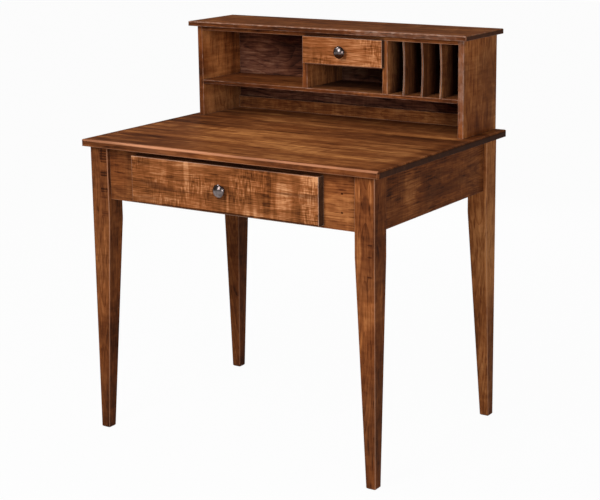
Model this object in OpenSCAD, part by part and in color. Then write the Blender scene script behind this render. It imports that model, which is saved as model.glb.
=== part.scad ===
// Shaker writing desk with a letter hutch along the back of its top.
// X runs along the width, -Y faces the sitter and Z is up from the floor.
// The origin lies on the floor under the middle of the whole desk.

/* [Desk top] */
// Width of the desk top
desk_w = 868; // [850:1:1200]
// Depth of the desk top
desk_d = 644; // [600:1:800]
// Height of the writing surface above the floor
desk_h = 762; // [700:1:820]
// Thickness of the desk top
top_t = 18; // [16:1:28]
// Radius of the desk top's plan corners
top_corner_r = 8; // [4:1:20]
// Radius that rounds the upper edges of the desk top
top_round = 6; // [2:0.5:8]
// Radius that eases the lower edges of the desk top and the hutch top
under_ease = 2; // [1:0.5:4]
// Desk top's overhang beyond the legs at each side
overhang_side = 19; // [10:1:40]
// Desk top's overhang in front of the legs
overhang_front = 13; // [8:1:30]
// Desk top's overhang behind the legs
overhang_back = 20; // [8:1:40]

/* [Legs] */
// Width of a square leg where the aprons join it
leg_w = 54; // [46:1:66]
// Width of a leg at the floor
foot_w = 26; // [20:1:42]
// Straight length of a leg below the aprons, above its taper
leg_straight = 57; // [5:1:120]
// Radius on the long edges of a leg
leg_ease = 2.5; // [1:0.5:5]
// Bevel round the underside of a foot
foot_bevel = 2; // [1:0.5:4]

/* [Aprons] */
// Height of the aprons
apron_h = 133; // [130:1:170]
// Thickness of the aprons
apron_t = 19; // [17:1:24]
// Step from the outer face of a leg back to the apron
apron_step = 10; // [1:0.5:12]
// Thickness of the apron tenons
tenon_t = 8; // [6:0.5:10]
// Wood left inside a leg between its two tenons
tenon_apart = 5; // [2:0.5:8]
// Shoulder above and below each apron tenon
tenon_shoulder = 12; // [6:1:30]

/* [Drawer window and runners] */
// Width of the window in the front apron
window_w = 527; // [440:1:560]
// Height of the window in the front apron
window_h = 97; // [80:1:100]
// Height of the apron strip above the window
window_top = 20; // [16:1:22]
// Width of the runner ledge under a drawer side
runner_ledge = 20; // [16:1:30]
// Width of the runner outside the drawer
runner_guide_w = 18; // [14:1:24]
// Height of the guide above the ledge
runner_guide_h = 20; // [10:1:40]
// Height of a runner's underside above the lower edge of the apron
runner_rise = 2; // [0.5:0.5:3]
// Width of a kicker above a drawer side
kicker_w = 30; // [20:1:36]
// Length of the stub tenons on runners and kickers
stub_l = 8; // [4:1:12]
// Thickness of the stub tenons on runners and kickers
stub_t = 7; // [5:0.5:8]

/* [Desk drawer] */
// Thickness of the applied front of the desk drawer
drawer_front_t = 22; // [16:1:24]
// Overlap of the applied front on the apron all round
drawer_lip = 10; // [6:0.5:12]
// Length of the dovetailed box
drawer_len = 480; // [300:1:490]
// Thickness of the box boards
drawer_board_t = 12; // [10:0.5:15]
// Thickness of the drawer bottom
drawer_bottom_t = 6; // [4:0.5:8]
// Height of the drawer bottom above the lower edge of the box
drawer_bottom_z = 10; // [6:0.5:14]
// Depth of the grooves for the drawer bottom
drawer_groove = 5; // [3:0.5:6]
// Number of tails on each corner of the box
drawer_tails = 3; // [2:1:4]
// Width of a pin at the outer face
drawer_pin_w = 7; // [4:0.5:9]
// Play at each side of the box
drawer_side_play = 1.5; // [0.5:0.25:2.5]
// Play above the box
drawer_top_play = 2.5; // [1:0.25:5]

/* [Hutch] */
// Outer width of the hutch between its side faces
hutch_w = 809; // [780:1:846]
// Depth of the hutch sides
hutch_d = 181; // [150:1:240]
// Height of the hutch above the writing surface
hutch_h = 257; // [250:1:330]
// Thickness of the hutch sides
side_t = 15; // [14:0.5:20]
// Thickness of the hutch top
hutch_top_t = 13; // [13:0.5:20]
// Overhang of the hutch top at each side
hutch_over_side = 17; // [6:1:30]
// Overhang of the hutch top in front
hutch_over_front = 20; // [16:1:30]
// Overhang of the hutch top behind
hutch_over_back = 5; // [1:0.5:12]
// Radius of the hutch top's plan corners
hutch_corner_r = 4; // [3:1:12]
// Radius that rounds the upper edges of the hutch top
hutch_top_round = 4; // [2:0.5:6]
// Thickness of the board under the hutch top
subtop_t = 12; // [9:0.5:16]
// Height of the long shelf's underside above the writing surface
shelf_z = 87; // [70:1:100]
// Thickness of the long shelf
shelf_t = 10; // [9:0.5:14]
// Radius that eases the front edges of the hutch boards
board_ease = 1.5; // [0.5:0.25:2.5]
// Depth of the dadoes in the hutch sides
side_dado = 5; // [3:0.5:7]
// Length left uncut at the front of each stopped dado
dado_stop = 16; // [14:1:30]
// Thickness of the back panel
back_panel_t = 6; // [4:0.5:8]
// Width of the rabbet that holds the back panel in each side
back_rabbet = 8; // [5:0.5:10]
// Thickness of the rail along the foot of the back panel
back_rail_t = 8; // [6:0.5:12]
// Height of the rail along the foot of the back panel
back_rail_h = 32; // [20:1:60]

/* [Compartments] */
// Width of the left compartment
left_bay_w = 323; // [260:1:380]
// Width of the bay that holds the drawer
drawer_bay_w = 226; // [180:1:280]
// Thickness of the two uprights beside the drawer
upright_t = 15; // [13:0.5:18]
// Clear height of the compartment under the drawer
cubby_h = 63; // [50:1:70]
// Thickness of the shelf that carries the drawer
drawer_shelf_t = 10; // [8:0.5:12]
// Width of the letter slot beside the drawer; the other slots share the rest
first_slot_w = 43; // [36:1:52]
// Thickness of a letter divider
letter_t = 4.5; // [4:0.5:8]
// Set-back of a letter divider at its two ends
letter_set = 1; // [0.5:0.5:6]
// Depth of the curve in a letter divider's front edge
letter_scoop = 5; // [4:0.5:20]
// Depth of the grooves that hold uprights and letter dividers
divider_groove = 3; // [2:0.5:4]

/* [Hutch drawer] */
// Thickness of the applied front of the hutch drawer
small_front_t = 12; // [10:0.5:14]
// Overlap of the applied front on the uprights
small_lip_side = 6; // [4:0.5:9]
// Overlap of the applied front on its shelf
small_lip_bottom = 6.5; // [3:0.5:8]
// Overlap of the applied front on the board above
small_lip_top = 2; // [2:0.5:6]
// Space between the dovetailed box and the back panel
small_back_space = 8; // [4:1:30]
// Thickness of the box boards
small_board_t = 9; // [8:0.5:10]
// Thickness of the drawer bottom
small_bottom_t = 5; // [3:0.5:6]
// Height of the drawer bottom above the lower edge of the box
small_bottom_z = 6; // [4:0.5:8]
// Depth of the grooves for the drawer bottom
small_groove = 4; // [2:0.5:5]
// Number of tails on each corner of the box
small_tails = 2; // [2:1:3]
// Width of a pin at the outer face
small_pin_w = 5; // [3:0.5:7]
// Play at each side of the box
small_side_play = 1; // [0.5:0.25:2]
// Play above the box
small_top_play = 1.5; // [0.75:0.25:3]

/* [Fittings] */
// Radius of a knob
knob_r = 16; // [12:0.5:20]
// Length of a knob from the drawer front
knob_l = 22; // [20:0.5:32]
// Radius of a knob's foot
knob_foot_r = 9; // [8:0.5:11]
// Radius of a knob's neck
knob_neck_r = 6.5; // [5:0.5:7.5]
// Height of a knob's domed face above its rim
knob_dome = 8; // [5:0.5:10]
// Height of a knob's upright rim
knob_rim = 1.5; // [0.5:0.25:2.5]
// Height of a knob's foot
knob_foot_h = 2.5; // [1:0.5:4]
// Depth of the threaded hole in a knob
knob_bite = 9; // [6:0.5:12]
// Width of a wooden button under the top
button_w = 26; // [18:1:30]
// Length of a wooden button from the apron
button_l = 30; // [24:1:34]
// Distance of a button's screw from the apron
button_screw_y = 18; // [12:0.5:19]
// Thickness of a button's tongue
tongue_t = 6; // [4:0.5:7]
// Length of a button's tongue inside the apron
tongue_l = 8; // [5:0.5:10]
// Height of wood in the apron above a button's tongue
tongue_drop = 7; // [6:0.5:10]
// Distance of the side aprons' buttons from the middle of the apron
button_spread = 150; // [60:1:170]
// Distance of the back apron's buttons from the middle of the apron
button_back_spread = 160; // [60:1:200]
// Radius of a screw's shank
screw_r = 2; // [1.5:0.1:2.5]
// Radius of a screw's head
screw_head_r = 4; // [3.5:0.1:5]
// Height of a screw's head
screw_head_h = 2.5; // [1.5:0.1:3]
// Depth that a button's screw enters the top
button_bite = 11; // [8:0.5:13]
// Depth that a screw enters the front of the desk drawer
front_bite = 12; // [8:0.5:14]
// Depth that a screw enters the front of the hutch drawer
small_front_bite = 7; // [4:0.5:8]
// Distance of the front's screws from the ends of the desk drawer box
front_screw_inset = 60; // [30:1:120]
// Half of the height between the front's screws
front_screw_rise = 20; // [10:1:26]
// Distance of the front's screws from the ends of the hutch drawer box
small_screw_inset = 30; // [20:1:60]
// Radius of a dowel under the hutch
dowel_r = 4; // [3:0.5:5]
// Depth of a dowel in the desk top
dowel_down = 12; // [8:1:13]
// Depth of a dowel in a hutch side
dowel_up = 18; // [10:1:30]
// Distance of the dowels from the front and back of a hutch side
dowel_inset = 35; // [20:1:60]

/* [Clearances] */
// Running clearance between a drawer and what it rests on or closes against
run_gap = 0.3; // [0.2:0.05:0.5]
// Radial clearance of screws and dowels in their holes
hole_gap = 0.1; // [0.05:0.05:0.2]
// Spare depth past the end of a screw, a dowel or a tongue
end_gap = 1; // [0.5:0.25:2]
// Play of a button's tongue in its slot
slot_gap = 0.5; // [0.25:0.25:1]

/* [Hidden] */
$fn = 48;

// Wood and metal colours
wood = "#8a5330";
wood_light = "#a4683c";
wood_dark = "#5f3420";
box_wood = "#c9a070";
ply = "#6d4a33";
pewter = "#5c5a5c";
steel = "#b8b8b8";

// Places along Y: the knob in front and the top's back edge are equally far from the origin
drawer_proud = drawer_front_t + run_gap - overhang_front - apron_step;
reach = max(knob_l + drawer_proud, 0);
front_y = (reach - desk_d) / 2;
back_y = front_y + desk_d;
leg_front_y = front_y + overhang_front;
leg_back_y = back_y - overhang_back;
leg_x = desk_w / 2 - overhang_side;

// Aprons
top_z = desk_h - top_t;
apron_z = top_z - apron_h;
taper_z = apron_z - leg_straight;
rail_x = leg_x - leg_w;
apron_front_y = leg_front_y + apron_step;
apron_back_y = leg_back_y - apron_step;
side_apron_x = leg_x - apron_step;
side_apron_y0 = leg_front_y + leg_w;
side_apron_y1 = leg_back_y - leg_w;
tenon_offset = apron_step + (apron_t + tenon_t) / 2;
tenon_l = leg_w - tenon_offset - tenon_apart;

// Drawer window, runners and kickers
window_z1 = top_z - window_top;
window_z0 = window_z1 - window_h;
runner_z0 = apron_z + runner_rise;
runner_h = window_z0 - runner_z0;
runner_x = window_w / 2;
inner_front_y = apron_front_y + apron_t;
inner_back_y = apron_back_y - apron_t;
button_drop = tongue_drop + tongue_t;

// Desk drawer
desk_box = [
    window_w - 2 * drawer_side_play,
    drawer_len,
    window_h - run_gap - drawer_top_play,
    drawer_board_t,
    drawer_bottom_t,
    drawer_bottom_z,
    drawer_groove,
    drawer_tails,
    drawer_pin_w
];
desk_box_y = apron_front_y - run_gap;
desk_box_z = window_z0 + run_gap;
desk_face_y = desk_box_y - drawer_front_t;
desk_knob_z = (window_z0 + window_z1) / 2;

// Hutch
hutch_y1 = back_y - hutch_over_back;
hutch_y0 = hutch_y1 - hutch_d;
hutch_depth = hutch_d - back_panel_t;
hutch_inner_w = hutch_w - 2 * side_t;
hutch_top_z = desk_h + hutch_h;
subtop_z1 = hutch_top_z - hutch_top_t;
subtop_z0 = subtop_z1 - subtop_t;
shelf_z0 = desk_h + shelf_z;
shelf_z1 = shelf_z0 + shelf_t;
upright_left_x = left_bay_w - hutch_inner_w / 2;
bay_x0 = upright_left_x + upright_t;
bay_x1 = bay_x0 + drawer_bay_w;
letter_x0 = bay_x1 + upright_t;
letter_count = 3;
letter_pitch = (hutch_inner_w / 2 - letter_x0 - first_slot_w) / letter_count;
drawer_shelf_z0 = shelf_z1 + cubby_h;
drawer_shelf_z1 = drawer_shelf_z0 + drawer_shelf_t;

// Hutch drawer
small_box = [
    drawer_bay_w - 2 * small_side_play,
    hutch_depth + run_gap - small_back_space,
    subtop_z0 - drawer_shelf_z1 - run_gap - small_top_play,
    small_board_t,
    small_bottom_t,
    small_bottom_z,
    small_groove,
    small_tails,
    small_pin_w
];
small_box_y = hutch_y0 - run_gap;
small_box_z = drawer_shelf_z1 + run_gap;
small_face_y = small_box_y - small_front_t;
small_face_w = drawer_bay_w + 2 * small_lip_side;
small_face_z0 = drawer_shelf_z1 - small_lip_bottom;
small_face_h = subtop_z0 + small_lip_top - small_face_z0;
small_mid_x = (bay_x0 + bay_x1) / 2;
small_knob_z = small_face_z0 + small_face_h / 2;

// Shapes that repeat

// Extrudes a shape along X, with its x as Y and its y as Z
module along_x(length) {
    rotate([90, 0, 90])
        linear_extrude(length)
            children();
}

// Extrudes a shape along Y, with its x as X and its y as Z
module along_y(length) {
    rotate([90, 0, 0])
        mirror([0, 0, 1])
            linear_extrude(length)
                children();
}

// Keeps what is given and adds its mirror image across the desk's middle
module both_sides() {
    children();
    mirror([1, 0, 0])
        children();
}

module round_rect(size, r) {
    translate([r, 0])
        square([size.x - 2 * r, size.y]);
    translate([0, r])
        square([size.x, size.y - 2 * r]);
    for (x = [r, size.x - r], y = [r, size.y - r])
        translate([x, y])
            circle(r);
}

// Rectangle with the two corners on y = 0 rounded
module front_round_rect(size, r) {
    translate([0, r])
        square([size.x, size.y - r]);
    translate([r, 0])
        square([size.x - 2 * r, size.y]);
    for (x = [r, size.x - r])
        translate([x, r])
            circle(r);
}

// Section of a board with its two upper corners rounded and its two lower ones eased
module edge_section(size, round_r, ease) {
    translate([ease, 0])
        square([size.x - 2 * ease, size.y - round_r]);
    translate([0, ease])
        square([size.x, size.y - ease - round_r]);
    translate([round_r, ease])
        square([size.x - 2 * round_r, size.y - ease]);
    for (x = [ease, size.x - ease])
        translate([x, ease])
            circle(ease);
    for (x = [round_r, size.x - round_r])
        translate([x, size.y - round_r])
            circle(round_r);
}

// Board with rounded upper edges, eased lower edges and rounded plan corners
module edged_board(size, round_r, ease, corner_r) {
    intersection() {
        linear_extrude(size.z)
            round_rect([size.x, size.y], corner_r);
        along_y(size.y)
            edge_section([size.x, size.z], round_r, ease);
        along_x(size.x)
            edge_section([size.y, size.z], round_r, ease);
    }
}

// Upright board with the two long edges of its front eased
module eased_front(size, ease) {
    intersection() {
        linear_extrude(size.z)
            front_round_rect([size.x, size.y], ease);
        along_x(size.x)
            mirror([1, -1])
                front_round_rect([size.z, size.y], ease);
    }
}

// Shelf with an eased front edge and a stopped tongue at each end
module tongued_shelf(width, depth, thick, tongue) {
    along_x(width)
        mirror([1, -1])
            front_round_rect([thick, depth], board_ease);
    translate([-tongue, dado_stop, 0])
        cube([width + 2 * tongue, depth - dado_stop, thick]);
}

// Upright between two boards, with a stopped tongue at each end
module tongued_upright(thick, depth, height, tongue) {
    linear_extrude(height)
        front_round_rect([thick, depth], board_ease);
    translate([0, dado_stop, -tongue])
        cube([thick, depth - dado_stop, height + 2 * tongue]);
}

// Screw with its seat at the origin and its shank along +Z
module screw(length) {
    tip = 2 * screw_r;
    rotate_extrude()
        polygon([
            [0, -screw_head_h],
            [screw_head_r * 0.7, -screw_head_h],
            [screw_head_r, -screw_head_h / 2],
            [screw_head_r, 0],
            [screw_r, 0],
            [screw_r, length - tip],
            [0, length]
        ]);
}

// Blind or clearance hole for a screw, from just under its seat
module screw_hole(length) {
    translate([0, 0, -end_gap])
        cylinder(h = length + 2 * end_gap, r = screw_r + hole_gap);
}

// Turned mushroom knob, standing on the origin along +Z
module knob() {
    rim_z = knob_l - knob_dome - knob_rim;
    dome_r = (pow(knob_r, 2) + pow(knob_dome, 2)) / (2 * knob_dome);
    neck_h = rim_z - knob_foot_h;
    flare = knob_foot_r - knob_neck_r;
    neck_curve_r = (pow(neck_h / 2, 2) + pow(flare, 2)) / (2 * flare);
    difference() {
        rotate_extrude() {
            square([knob_foot_r, knob_foot_h]);
            difference() {
                square([knob_foot_r, rim_z]);
                translate([knob_neck_r + neck_curve_r, knob_foot_h + neck_h / 2])
                    circle(neck_curve_r);
            }
            intersection() {
                translate([0, knob_l - dome_r])
                    circle(dome_r);
                translate([0, rim_z])
                    square([knob_r, knob_l - rim_z]);
            }
        }
        translate([0, 0, -end_gap])
            cylinder(h = knob_bite + 2 * end_gap, r = screw_r + hole_gap);
    }
}

// Dovetailed drawer box
// A box is [width, length, height, board, bottom, bottom's height, groove, tails, pin width].
// It stands on z = 0 with its front face on y = 0, and x runs from 0 to its width.
function box_w(b) = b[0];
function box_l(b) = b[1];
function box_h(b) = b[2];
function box_t(b) = b[3];
function bottom_t(b) = b[4];
function bottom_z(b) = b[5];
function box_groove(b) = b[6];
function box_tails(b) = b[7];
function box_pin(b) = b[8];
function back_z(b) = bottom_z(b) + bottom_t(b);
tail_slope = 1 / 7;

// Corners of a row of tails over a height, from the board end at u = 0 to its shoulder at u = t
function tail_points(height, t, count, pin) = [
    for (i = [0 : count - 1])
        let (middle = (i + 0.5) * height / count, half = (height / count - pin) / 2)
            each [
                [t, middle - half + t * tail_slope],
                [0, middle - half],
                [0, middle + half],
                [t, middle + half - t * tail_slope]
            ]
];

function reversed(points) = [for (i = [len(points) - 1 : -1 : 0]) points[i]];

// Side seen from outside: tails at the front, and above the bottom at the back
module side_outline(b) {
    t = box_t(b);
    front = tail_points(box_h(b), t, box_tails(b), box_pin(b));
    back_row = tail_points(box_h(b) - back_z(b), t, box_tails(b), box_pin(b));
    back = [for (p = reversed(back_row)) [box_l(b) - p.x, p.y + back_z(b)]];
    polygon(concat(
        [[t, 0]],
        front,
        [[t, box_h(b)], [box_l(b) - t, box_h(b)]],
        back,
        [[box_l(b) - t, back_z(b)], [box_l(b), back_z(b)], [box_l(b), 0]]
    ));
}

module box_side_board(b) {
    along_x(box_t(b))
        side_outline(b);
}

module box_bottom(b) {
    inset = box_t(b) - box_groove(b);
    translate([inset, inset, bottom_z(b)])
        cube([box_w(b) - 2 * inset, box_l(b) - inset, bottom_t(b)]);
}

module box_side_left(b) {
    difference() {
        box_side_board(b);
        box_bottom(b);
    }
}

module box_side_right(b) {
    difference() {
        translate([box_w(b) - box_t(b), 0, 0])
            box_side_board(b);
        box_bottom(b);
    }
}

// What the two sides take from the front and the back
module box_side_boards(b) {
    box_side_board(b);
    translate([box_w(b) - box_t(b), 0, 0])
        box_side_board(b);
}

module box_front(b) {
    difference() {
        cube([box_w(b), box_t(b), box_h(b)]);
        box_side_boards(b);
        box_bottom(b);
    }
}

module box_back(b) {
    difference() {
        translate([0, box_l(b) - box_t(b), back_z(b)])
            cube([box_w(b), box_t(b), box_h(b) - back_z(b)]);
        box_side_boards(b);
    }
}

// Desk frame

module desk_top() {
    color(wood)
        difference() {
            translate([-desk_w / 2, front_y, top_z])
                edged_board([desk_w, desk_d, top_t], top_round, under_ease, top_corner_r);
            hutch_dowel_holes();
            button_screw_holes();
        }
}

// Leg with its outer corner on the origin and its body towards +X and +Y
module leg_blank() {
    slice = 0.5;
    hull() {
        translate([foot_bevel, foot_bevel, 0])
            linear_extrude(slice)
                leg_outline(foot_w - 2 * foot_bevel);
        translate([0, 0, foot_bevel])
            linear_extrude(slice)
                leg_outline(foot_w);
        translate([0, 0, taper_z])
            linear_extrude(top_z - taper_z)
                leg_outline(leg_w);
    }
}

module leg_outline(width) {
    round_rect([width, width], leg_ease, $fn = 16);
}

// Front left leg; the others are its mirror images about the frame's own middle lines
module leg(right, back) {
    difference() {
        translate([(right ? 1 : -1) * leg_x, back ? leg_back_y : leg_front_y, 0])
            mirror([right ? 1 : 0, 0, 0])
                mirror([0, back ? 1 : 0, 0])
                    leg_blank();
        if (back)
            back_apron_tenons();
        else
            front_apron_tenons();
        side_apron_tenons(right);
    }
}

module leg_front_left() {
    color(wood)
        leg(false, false);
}

module leg_front_right() {
    color(wood)
        leg(true, false);
}

module leg_back_left() {
    color(wood)
        leg(false, true);
}

module leg_back_right() {
    color(wood)
        leg(true, true);
}

// Tenons of an apron across the desk, whose outer face is at outer_y and inner face towards in_dir
module cross_tenons(outer_y, in_dir) {
    middle_y = outer_y + in_dir * apron_t / 2;
    translate([-rail_x - tenon_l, middle_y - tenon_t / 2, apron_z + tenon_shoulder])
        cube([2 * (rail_x + tenon_l), tenon_t, apron_h - 2 * tenon_shoulder]);
}

module front_apron_tenons() {
    cross_tenons(apron_front_y, 1);
}

module back_apron_tenons() {
    cross_tenons(apron_back_y, -1);
}

module side_apron_tenons(right) {
    middle_x = (right ? 1 : -1) * (side_apron_x - apron_t / 2);
    translate([middle_x - tenon_t / 2, side_apron_y0 - tenon_l, apron_z + tenon_shoulder])
        cube([tenon_t, side_apron_y1 - side_apron_y0 + 2 * tenon_l, apron_h - 2 * tenon_shoulder]);
}

module front_apron() {
    color(wood)
        difference() {
            union() {
                translate([-rail_x, apron_front_y, apron_z])
                    cube([2 * rail_x, apron_t, apron_h]);
                front_apron_tenons();
            }
            translate([-window_w / 2, apron_front_y - 1, window_z0])
                cube([window_w, apron_t + 2, window_h]);
            runner_stubs();
            front_button_places()
                button_slot();
        }
}

module back_apron() {
    color(wood)
        difference() {
            union() {
                translate([-rail_x, inner_back_y, apron_z])
                    cube([2 * rail_x, apron_t, apron_h]);
                back_apron_tenons();
            }
            runner_stubs();
            back_button_places()
                button_slot();
        }
}

module side_apron(right) {
    x0 = right ? side_apron_x - apron_t : -side_apron_x;
    difference() {
        union() {
            translate([x0, side_apron_y0, apron_z])
                cube([apron_t, side_apron_y1 - side_apron_y0, apron_h]);
            side_apron_tenons(right);
        }
        side_button_places(right)
            button_slot();
    }
}

module side_apron_left() {
    color(wood)
        side_apron(false);
}

module side_apron_right() {
    color(wood)
        side_apron(true);
}

// Runners and kickers run from the front apron to the back apron

module runner_blank() {
    length = inner_back_y - inner_front_y;
    translate([runner_x - runner_ledge, inner_front_y, runner_z0])
        cube([runner_ledge + runner_guide_w, length, runner_h]);
    translate([runner_x, inner_front_y, window_z0])
        cube([runner_guide_w, length, runner_guide_h]);
}

module runner_stub() {
    translate([runner_x - runner_ledge, inner_front_y - stub_l, runner_z0 + (runner_h - stub_t) / 2])
        cube([runner_ledge + runner_guide_w, inner_back_y - inner_front_y + 2 * stub_l, stub_t]);
}

module kicker_blank() {
    translate([runner_x - runner_ledge, inner_front_y, window_z1])
        cube([kicker_w, inner_back_y - inner_front_y, window_top]);
}

module kicker_stub() {
    translate([runner_x - runner_ledge, inner_front_y - stub_l, window_z1 + (window_top - stub_t) / 2])
        cube([kicker_w, inner_back_y - inner_front_y + 2 * stub_l, stub_t]);
}

module runner_stubs() {
    both_sides() {
        runner_stub();
        kicker_stub();
    }
}

module drawer_runner_right() {
    color(wood_light) {
        runner_blank();
        runner_stub();
    }
}

module drawer_runner_left() {
    mirror([1, 0, 0])
        drawer_runner_right();
}

module drawer_kicker_right() {
    color(wood_light) {
        kicker_blank();
        kicker_stub();
    }
}

module drawer_kicker_left() {
    mirror([1, 0, 0])
        drawer_kicker_right();
}

// Wooden buttons: each has the apron's inner face on y = 0 and the top's underside on z = 0

module button() {
    difference() {
        union() {
            translate([-button_w / 2, end_gap, -button_drop])
                cube([button_w, button_l - end_gap, button_drop]);
            translate([-button_w / 2, -tongue_l, -button_drop])
                cube([button_w, tongue_l + end_gap, tongue_t]);
        }
        button_screw_place()
            screw_hole(button_drop);
    }
}

module button_slot() {
    translate([-button_w / 2 - end_gap, -tongue_l - end_gap, -button_drop - slot_gap])
        cube([button_w + 2 * end_gap, tongue_l + end_gap + slot_gap, tongue_t + slot_gap]);
}

module button_screw_place() {
    translate([0, button_screw_y, -button_drop])
        children();
}

module front_button_places() {
    for (side = [-1, 1])
        translate([side * (window_w / 2 + rail_x) / 2, inner_front_y, top_z])
            children();
}

module back_button_places() {
    for (side = [-1, 1])
        translate([side * button_back_spread, inner_back_y, top_z])
            rotate([0, 0, 180])
                children();
}

module side_button_places(right) {
    middle_y = (side_apron_y0 + side_apron_y1) / 2;
    for (step = [-1, 1])
        translate([(right ? 1 : -1) * (side_apron_x - apron_t), middle_y + step * button_spread, top_z])
            rotate([0, 0, right ? 90 : -90])
                children();
}

module button_places() {
    front_button_places()
        children();
    back_button_places()
        children();
    side_button_places(false)
        children();
    side_button_places(true)
        children();
}

module top_buttons() {
    color(wood_light)
        button_places()
            button();
}

module button_screws() {
    color(steel)
        button_places()
            button_screw_place()
                screw(button_drop + button_bite);
}

module button_screw_holes() {
    button_places()
        button_screw_place()
            screw_hole(button_drop + button_bite);
}

// Hutch

module hutch_dowel_places() {
    for (side = [-1, 1], y = [hutch_y0 + dowel_inset, hutch_y1 - dowel_inset])
        translate([side * (hutch_w - side_t) / 2, y, desk_h])
            children();
}

module hutch_dowels() {
    color(wood_light)
        hutch_dowel_places()
            translate([0, 0, -dowel_down])
                cylinder(h = dowel_down + dowel_up, r = dowel_r);
}

module hutch_dowel_holes() {
    hutch_dowel_places()
        translate([0, 0, -dowel_down - end_gap])
            cylinder(h = dowel_down + dowel_up + 2 * end_gap, r = dowel_r + hole_gap);
}

module hutch_side(right) {
    difference() {
        translate([right ? hutch_w / 2 - side_t : -hutch_w / 2, hutch_y0, desk_h])
            linear_extrude(subtop_z1 - desk_h)
                front_round_rect([side_t, hutch_d], board_ease);
        shelf_blank();
        subtop_blank();
        back_panel_blank();
        back_rail_blank();
        hutch_dowel_holes();
    }
}

module hutch_side_left() {
    color(wood)
        hutch_side(false);
}

module hutch_side_right() {
    color(wood)
        hutch_side(true);
}

module hutch_top() {
    color(wood)
        translate([-hutch_w / 2 - hutch_over_side, hutch_y0 - hutch_over_front, subtop_z1])
            edged_board(
                [hutch_w + 2 * hutch_over_side, hutch_d + hutch_over_front + hutch_over_back, hutch_top_t],
                hutch_top_round,
                under_ease,
                hutch_corner_r
            );
}

module subtop_blank() {
    translate([-hutch_inner_w / 2, hutch_y0, subtop_z0])
        tongued_shelf(hutch_inner_w, hutch_depth, subtop_t, side_dado);
}

module hutch_subtop() {
    color(wood_light)
        difference() {
            subtop_blank();
            upright_blanks();
            for (i = [1 : letter_count])
                letter_blank(i);
        }
}

module shelf_blank() {
    translate([-hutch_inner_w / 2, hutch_y0, shelf_z0])
        tongued_shelf(hutch_inner_w, hutch_depth, shelf_t, side_dado);
}

module hutch_shelf() {
    color(wood)
        difference() {
            shelf_blank();
            upright_blanks();
            for (i = [1 : letter_count])
                letter_blank(i);
        }
}

module upright_blank(x) {
    translate([x, hutch_y0, shelf_z1])
        tongued_upright(upright_t, hutch_depth, subtop_z0 - shelf_z1, divider_groove);
}

module upright_blanks() {
    upright_blank(upright_left_x);
    upright_blank(bay_x1);
}

module hutch_upright_left() {
    color(wood)
        difference() {
            upright_blank(upright_left_x);
            drawer_shelf_blank();
        }
}

module hutch_upright_right() {
    color(wood)
        difference() {
            upright_blank(bay_x1);
            drawer_shelf_blank();
        }
}

module drawer_shelf_blank() {
    translate([bay_x0, hutch_y0, drawer_shelf_z0])
        tongued_shelf(drawer_bay_w, hutch_depth, drawer_shelf_t, side_dado);
}

module hutch_drawer_shelf() {
    color(wood)
        drawer_shelf_blank();
}

// Letter divider number i from the left, with its front edge curved in between the two boards
module letter_blank(i) {
    height = subtop_z0 - shelf_z1;
    curve_r = (pow(height / 2, 2) + pow(letter_scoop, 2)) / (2 * letter_scoop);
    translate([letter_x0 + first_slot_w + (i - 1) * letter_pitch, hutch_y0, shelf_z1])
        along_x(letter_t)
            difference() {
                union() {
                    translate([letter_set, 0])
                        square([hutch_depth - letter_set, height]);
                    translate([dado_stop, -divider_groove])
                        square([hutch_depth - dado_stop, height + 2 * divider_groove]);
                }
                translate([letter_set + letter_scoop - curve_r, height / 2])
                    circle(curve_r, $fn = 96);
            }
}

module letter_divider_1() {
    color(wood)
        letter_blank(1);
}

module letter_divider_2() {
    color(wood)
        letter_blank(2);
}

module letter_divider_3() {
    color(wood)
        letter_blank(3);
}

module back_panel_blank() {
    translate([-hutch_inner_w / 2 - back_rabbet, hutch_y0 + hutch_depth, desk_h])
        cube([hutch_inner_w + 2 * back_rabbet, back_panel_t, subtop_z1 - desk_h]);
}

module hutch_back_panel() {
    color(ply)
        back_panel_blank();
}

module back_rail_blank() {
    translate([-hutch_inner_w / 2 - side_dado, hutch_y0 + hutch_depth - back_rail_t, desk_h])
        cube([hutch_inner_w + 2 * side_dado, back_rail_t, back_rail_h]);
}

module hutch_back_rail() {
    color(wood_dark)
        back_rail_blank();
}

// Desk drawer, closed

module in_desk_box() {
    translate([-box_w(desk_box) / 2, desk_box_y, desk_box_z])
        children();
}

// Screw places on the inner face of a box front, pointing to the sitter
module box_front_screws(b, inset, rise) {
    for (x = [inset, box_w(b) - inset], z = rise == 0 ? [0] : [-rise, rise])
        translate([x, box_t(b), box_h(b) / 2 + z])
            rotate([90, 0, 0])
                children();
}

// Place of the knob's screw on the inner face of a box front, under the knob's own centre
module knob_screw_place(mid_x, box_y, b, z) {
    translate([mid_x, box_y + box_t(b), z])
        rotate([90, 0, 0])
            children();
}

module desk_drawer_front() {
    color(wood_light)
        difference() {
            translate([-window_w / 2 - drawer_lip, desk_face_y, window_z0 - drawer_lip])
                eased_front([window_w + 2 * drawer_lip, drawer_front_t, window_h + 2 * drawer_lip], board_ease);
            desk_front_screw_holes();
            desk_knob_screw_hole();
        }
}

module desk_front_screw_holes() {
    in_desk_box()
        box_front_screws(desk_box, front_screw_inset, front_screw_rise)
            screw_hole(drawer_board_t + front_bite);
}

module desk_knob_screw_hole() {
    knob_screw_place(0, desk_box_y, desk_box, desk_knob_z)
        screw_hole(drawer_board_t + drawer_front_t + knob_bite);
}

module desk_drawer_box_front() {
    color(box_wood)
        difference() {
            in_desk_box()
                box_front(desk_box);
            desk_front_screw_holes();
            desk_knob_screw_hole();
        }
}

module desk_drawer_side_left() {
    color(box_wood)
        in_desk_box()
            box_side_left(desk_box);
}

module desk_drawer_side_right() {
    color(box_wood)
        in_desk_box()
            box_side_right(desk_box);
}

module desk_drawer_back() {
    color(box_wood)
        in_desk_box()
            box_back(desk_box);
}

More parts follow.
